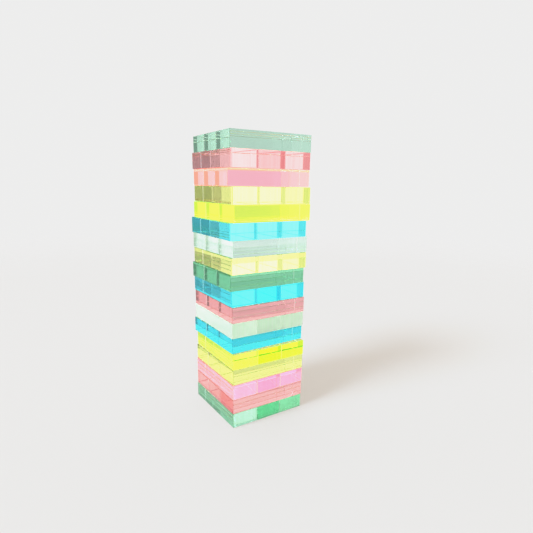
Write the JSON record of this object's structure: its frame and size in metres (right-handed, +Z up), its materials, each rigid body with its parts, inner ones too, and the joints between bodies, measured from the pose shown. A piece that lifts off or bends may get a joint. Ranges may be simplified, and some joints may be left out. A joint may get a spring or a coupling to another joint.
{
  "type": "tumbling tower game",
  "caption": "Stacking tower game of transparent coloured acrylic bars laid side by side, each layer crossing the one below, every bar free to slide out along its length.",
  "frame": {"origin": "on the resting plane, at the middle of the box round the whole tower in plan", "axes": "+Z up the tower; -Y is the front; the odd layers' blocks, counted from the bottom, run front to back along Y, the even layers' run left to right along X"},
  "size_m": [0.1338, 0.1366, 0.4173],
  "materials": {
    "acrylic_sea_green": "transparent sea-green cast acrylic, polished",
    "acrylic_mint": "transparent pale mint-green cast acrylic, polished",
    "acrylic_rose": "transparent rose cast acrylic, polished",
    "acrylic_neon_pink": "fluorescent pink cast acrylic with glowing edges, polished",
    "acrylic_pale_yellow": "transparent pale yellow cast acrylic, polished",
    "acrylic_neon_yellow": "fluorescent yellow-green cast acrylic with glowing edges, polished",
    "acrylic_cyan": "transparent cyan cast acrylic, polished",
    "acrylic_clear": "almost clear, faintly green cast acrylic, polished",
    "acrylic_opal": "milky, faintly green translucent cast acrylic, satin"
  },
  "bodies": {
    "layer_01_left": {"layer_01_left": "acrylic_sea_green"},
    "layer_01_middle": {"layer_01_middle": "acrylic_sea_green"},
    "layer_01_right": {"layer_01_right": "acrylic_sea_green"},
    "layer_02_front": {"layer_02_front": "acrylic_rose"},
    "layer_02_middle": {"layer_02_middle": "acrylic_rose"},
    "layer_02_back": {"layer_02_back": "acrylic_rose"},
    "layer_03_left": {"layer_03_left": "acrylic_neon_pink"},
    "layer_03_middle": {"layer_03_middle": "acrylic_neon_pink"},
    "layer_03_right": {"layer_03_right": "acrylic_neon_pink"},
    "layer_04_front": {"layer_04_front": "acrylic_pale_yellow"},
    "layer_04_middle": {"layer_04_middle": "acrylic_pale_yellow"},
    "layer_04_back": {"layer_04_back": "acrylic_pale_yellow"},
    "layer_05_left": {"layer_05_left": "acrylic_neon_yellow"},
    "layer_05_middle": {"layer_05_middle": "acrylic_neon_yellow"},
    "layer_05_right": {"layer_05_right": "acrylic_neon_yellow"},
    "layer_06_front": {"layer_06_front": "acrylic_cyan"},
    "layer_06_middle": {"layer_06_middle": "acrylic_cyan"},
    "layer_06_back": {"layer_06_back": "acrylic_cyan"},
    "layer_07_left": {"layer_07_left": "acrylic_opal"},
    "layer_07_middle": {"layer_07_middle": "acrylic_opal"},
    "layer_07_right": {"layer_07_right": "acrylic_opal"},
    "layer_08_front": {"layer_08_front": "acrylic_rose"},
    "layer_08_middle": {"layer_08_middle": "acrylic_rose"},
    "layer_08_back": {"layer_08_back": "acrylic_rose"},
    "layer_09_left": {"layer_09_left": "acrylic_cyan"},
    "layer_09_middle": {"layer_09_middle": "acrylic_cyan"},
    "layer_09_right": {"layer_09_right": "acrylic_cyan"},
    "layer_10_front": {"layer_10_front": "acrylic_sea_green"},
    "layer_10_middle": {"layer_10_middle": "acrylic_sea_green"},
    "layer_10_back": {"layer_10_back": "acrylic_sea_green"},
    "layer_11_left": {"layer_11_left": "acrylic_pale_yellow"},
    "layer_11_middle": {"layer_11_middle": "acrylic_pale_yellow"},
    "layer_11_right": {"layer_11_right": "acrylic_pale_yellow"},
    "layer_12_front": {"layer_12_front": "acrylic_clear"},
    "layer_12_middle": {"layer_12_middle": "acrylic_clear"},
    "layer_12_back": {"layer_12_back": "acrylic_clear"},
    "layer_13_left": {"layer_13_left": "acrylic_cyan"},
    "layer_13_middle": {"layer_13_middle": "acrylic_cyan"},
    "layer_13_right": {"layer_13_right": "acrylic_cyan"},
    "layer_14_front": {"layer_14_front": "acrylic_neon_yellow"},
    "layer_14_middle": {"layer_14_middle": "acrylic_neon_yellow"},
    "layer_14_back": {"layer_14_back": "acrylic_neon_yellow"},
    "layer_15_left": {"layer_15_left": "acrylic_pale_yellow"},
    "layer_15_middle": {"layer_15_middle": "acrylic_pale_yellow"},
    "layer_15_right": {"layer_15_right": "acrylic_pale_yellow"},
    "layer_16_front": {"layer_16_front": "acrylic_neon_pink"},
    "layer_16_middle": {"layer_16_middle": "acrylic_neon_pink"},
    "layer_16_back": {"layer_16_back": "acrylic_neon_pink"},
    "layer_17_left": {"layer_17_left": "acrylic_rose"},
    "layer_17_middle": {"layer_17_middle": "acrylic_rose"},
    "layer_17_right": {"layer_17_right": "acrylic_rose"},
    "layer_18_front": {"layer_18_front": "acrylic_mint"},
    "layer_18_middle": {"layer_18_middle": "acrylic_mint"},
    "layer_18_back": {"layer_18_back": "acrylic_mint"}
  },
  "joints": [
    {"name": "layer_01_left_slide", "type": "slide", "parent": "layer_01_middle", "child": "layer_01_left", "axis": [-0.0175, 0.9998, 0], "range_m": [-0.125, 0.125]},
    {"name": "layer_01_right_slide", "type": "slide", "parent": "layer_01_middle", "child": "layer_01_right", "axis": [-0.0175, 0.9998, 0], "range_m": [-0.125, 0.125]},
    {"name": "layer_02_front_slide", "type": "slide", "parent": "layer_01_middle", "child": "layer_02_front", "axis": [1, 0.0087, 0], "range_m": [-0.125, 0.125]},
    {"name": "layer_02_middle_slide", "type": "slide", "parent": "layer_01_middle", "child": "layer_02_middle", "axis": [1, 0.0087, 0], "range_m": [-0.125, 0.125]},
    {"name": "layer_02_back_slide", "type": "slide", "parent": "layer_01_middle", "child": "layer_02_back", "axis": [1, 0.0087, 0], "range_m": [-0.125, 0.125]},
    {"name": "layer_03_left_slide", "type": "slide", "parent": "layer_01_middle", "child": "layer_03_left", "axis": [-0.0087, 1, 0], "range_m": [-0.125, 0.125]},
    {"name": "layer_03_middle_slide", "type": "slide", "parent": "layer_01_middle", "child": "layer_03_middle", "axis": [-0.0087, 1, 0], "range_m": [-0.125, 0.125]},
    {"name": "layer_03_right_slide", "type": "slide", "parent": "layer_01_middle", "child": "layer_03_right", "axis": [-0.0087, 1, 0], "range_m": [-0.125, 0.125]},
    {"name": "layer_04_front_slide", "type": "slide", "parent": "layer_01_middle", "child": "layer_04_front", "axis": [1, 0.0087, 0], "range_m": [-0.125, 0.125]},
    {"name": "layer_04_middle_slide", "type": "slide", "parent": "layer_01_middle", "child": "layer_04_middle", "axis": [1, 0.0087, 0], "range_m": [-0.125, 0.125]},
    {"name": "layer_04_back_slide", "type": "slide", "parent": "layer_01_middle", "child": "layer_04_back", "axis": [1, 0.0087, 0], "range_m": [-0.125, 0.125]},
    {"name": "layer_05_left_slide", "type": "slide", "parent": "layer_01_middle", "child": "layer_05_left", "axis": [0, 1, 0], "range_m": [-0.125, 0.125]},
    {"name": "layer_05_middle_slide", "type": "slide", "parent": "layer_01_middle", "child": "layer_05_middle", "axis": [0, 1, 0], "range_m": [-0.125, 0.125]},
    {"name": "layer_05_right_slide", "type": "slide", "parent": "layer_01_middle", "child": "layer_05_right", "axis": [0, 1, 0], "range_m": [-0.125, 0.125]},
    {"name": "layer_06_front_slide", "type": "slide", "parent": "layer_01_middle", "child": "layer_06_front", "axis": [0.9997, 0.0262, 0], "range_m": [-0.125, 0.125]},
    {"name": "layer_06_middle_slide", "type": "slide", "parent": "layer_01_middle", "child": "layer_06_middle", "axis": [0.9997, 0.0262, 0], "range_m": [-0.125, 0.125]},
    {"name": "layer_06_back_slide", "type": "slide", "parent": "layer_01_middle", "child": "layer_06_back", "axis": [0.9997, 0.0262, 0], "range_m": [-0.125, 0.125]},
    {"name": "layer_07_left_slide", "type": "slide", "parent": "layer_01_middle", "child": "layer_07_left", "axis": [0, 1, 0], "range_m": [-0.125, 0.125]},
    {"name": "layer_07_middle_slide", "type": "slide", "parent": "layer_01_middle", "child": "layer_07_middle", "axis": [0, 1, 0], "range_m": [-0.125, 0.125]},
    {"name": "layer_07_right_slide", "type": "slide", "parent": "layer_01_middle", "child": "layer_07_right", "axis": [0, 1, 0], "range_m": [-0.125, 0.125]},
    {"name": "layer_08_front_slide", "type": "slide", "parent": "layer_01_middle", "child": "layer_08_front", "axis": [1, 0.0087, 0], "range_m": [-0.125, 0.125]},
    {"name": "layer_08_middle_slide", "type": "slide", "parent": "layer_01_middle", "child": "layer_08_middle", "axis": [1, 0.0087, 0], "range_m": [-0.125, 0.125]},
    {"name": "layer_08_back_slide", "type": "slide", "parent": "layer_01_middle", "child": "layer_08_back", "axis": [1, 0.0087, 0], "range_m": [-0.125, 0.125]},
    {"name": "layer_09_left_slide", "type": "slide", "parent": "layer_01_middle", "child": "layer_09_left", "axis": [-0.0087, 1, 0], "range_m": [-0.125, 0.125]},
    {"name": "layer_09_middle_slide", "type": "slide", "parent": "layer_01_middle", "child": "layer_09_middle", "axis": [-0.0087, 1, 0], "range_m": [-0.125, 0.125]},
    {"name": "layer_09_right_slide", "type": "slide", "parent": "layer_01_middle", "child": "layer_09_right", "axis": [-0.0087, 1, 0], "range_m": [-0.125, 0.125]},
    {"name": "layer_10_front_slide", "type": "slide", "parent": "layer_01_middle", "child": "layer_10_front", "axis": [1, 0.0087, 0], "range_m": [-0.125, 0.125]},
    {"name": "layer_10_middle_slide", "type": "slide", "parent": "layer_01_middle", "child": "layer_10_middle", "axis": [1, 0.0087, 0], "range_m": [-0.125, 0.125]},
    {"name": "layer_10_back_slide", "type": "slide", "parent": "layer_01_middle", "child": "layer_10_back", "axis": [1, 0.0087, 0], "range_m": [-0.125, 0.125]},
    {"name": "layer_11_left_slide", "type": "slide", "parent": "layer_01_middle", "child": "layer_11_left", "axis": [0, 1, 0], "range_m": [-0.125, 0.125]},
    {"name": "layer_11_middle_slide", "type": "slide", "parent": "layer_01_middle", "child": "layer_11_middle", "axis": [0, 1, 0], "range_m": [-0.125, 0.125]},
    {"name": "layer_11_right_slide", "type": "slide", "parent": "layer_01_middle", "child": "layer_11_right", "axis": [0, 1, 0], "range_m": [-0.125, 0.125]},
    {"name": "layer_12_front_slide", "type": "slide", "parent": "layer_01_middle", "child": "layer_12_front", "axis": [0.9997, 0.0262, 0], "range_m": [-0.125, 0.125]},
    {"name": "layer_12_middle_slide", "type": "slide", "parent": "layer_01_middle", "child": "layer_12_middle", "axis": [0.9997, 0.0262, 0], "range_m": [-0.125, 0.125]},
    {"name": "layer_12_back_slide", "type": "slide", "parent": "layer_01_middle", "child": "layer_12_back", "axis": [0.9997, 0.0262, 0], "range_m": [-0.125, 0.125]},
    {"name": "layer_13_left_slide", "type": "slide", "parent": "layer_01_middle", "child": "layer_13_left", "axis": [0, 1, 0], "range_m": [-0.125, 0.125]},
    {"name": "layer_13_middle_slide", "type": "slide", "parent": "layer_01_middle", "child": "layer_13_middle", "axis": [0, 1, 0], "range_m": [-0.125, 0.125]},
    {"name": "layer_13_right_slide", "type": "slide", "parent": "layer_01_middle", "child": "layer_13_right", "axis": [0, 1, 0], "range_m": [-0.125, 0.125]},
    {"name": "layer_14_front_slide", "type": "slide", "parent": "layer_01_middle", "child": "layer_14_front", "axis": [0.9998, 0.0175, 0], "range_m": [-0.125, 0.125]},
    {"name": "layer_14_middle_slide", "type": "slide", "parent": "layer_01_middle", "child": "layer_14_middle", "axis": [0.9998, 0.0175, 0], "range_m": [-0.125, 0.125]},
    {"name": "layer_14_back_slide", "type": "slide", "parent": "layer_01_middle", "child": "layer_14_back", "axis": [0.9998, 0.0175, 0], "range_m": [-0.125, 0.125]},
    {"name": "layer_15_left_slide", "type": "slide", "parent": "layer_01_middle", "child": "layer_15_left", "axis": [0.0262, 0.9997, 0], "range_m": [-0.125, 0.125]},
    {"name": "layer_15_middle_slide", "type": "slide", "parent": "layer_01_middle", "child": "layer_15_middle", "axis": [0.0262, 0.9997, 0], "range_m": [-0.125, 0.125]},
    {"name": "layer_15_right_slide", "type": "slide", "parent": "layer_01_middle", "child": "layer_15_right", "axis": [0.0262, 0.9997, 0], "range_m": [-0.125, 0.125]},
    {"name": "layer_16_front_slide", "type": "slide", "parent": "layer_01_middle", "child": "layer_16_front", "axis": [0.9981, -0.061, 0], "range_m": [-0.125, 0.125]},
    {"name": "layer_16_middle_slide", "type": "slide", "parent": "layer_01_middle", "child": "layer_16_middle", "axis": [0.9981, -0.061, 0], "range_m": [-0.125, 0.125]},
    {"name": "layer_16_back_slide", "type": "slide", "parent": "layer_01_middle", "child": "layer_16_back", "axis": [0.9981, -0.061, 0], "range_m": [-0.125, 0.125]},
    {"name": "layer_17_left_slide", "type": "slide", "parent": "layer_01_middle", "child": "layer_17_left", "axis": [0.0175, 0.9998, 0], "range_m": [-0.125, 0.125]},
    {"name": "layer_17_middle_slide", "type": "slide", "parent": "layer_01_middle", "child": "layer_17_middle", "axis": [0.0175, 0.9998, 0], "range_m": [-0.125, 0.125]},
    {"name": "layer_17_right_slide", "type": "slide", "parent": "layer_01_middle", "child": "layer_17_right", "axis": [0.0175, 0.9998, 0], "range_m": [-0.125, 0.125]},
    {"name": "layer_18_front_slide", "type": "slide", "parent": "layer_01_middle", "child": "layer_18_front", "axis": [0.9994, -0.0349, 0], "range_m": [-0.125, 0.125]},
    {"name": "layer_18_middle_slide", "type": "slide", "parent": "layer_01_middle", "child": "layer_18_middle", "axis": [0.9994, -0.0349, 0], "range_m": [-0.125, 0.125]},
    {"name": "layer_18_back_slide", "type": "slide", "parent": "layer_01_middle", "child": "layer_18_back", "axis": [0.9994, -0.0349, 0], "range_m": [-0.125, 0.125]}
  ]
}
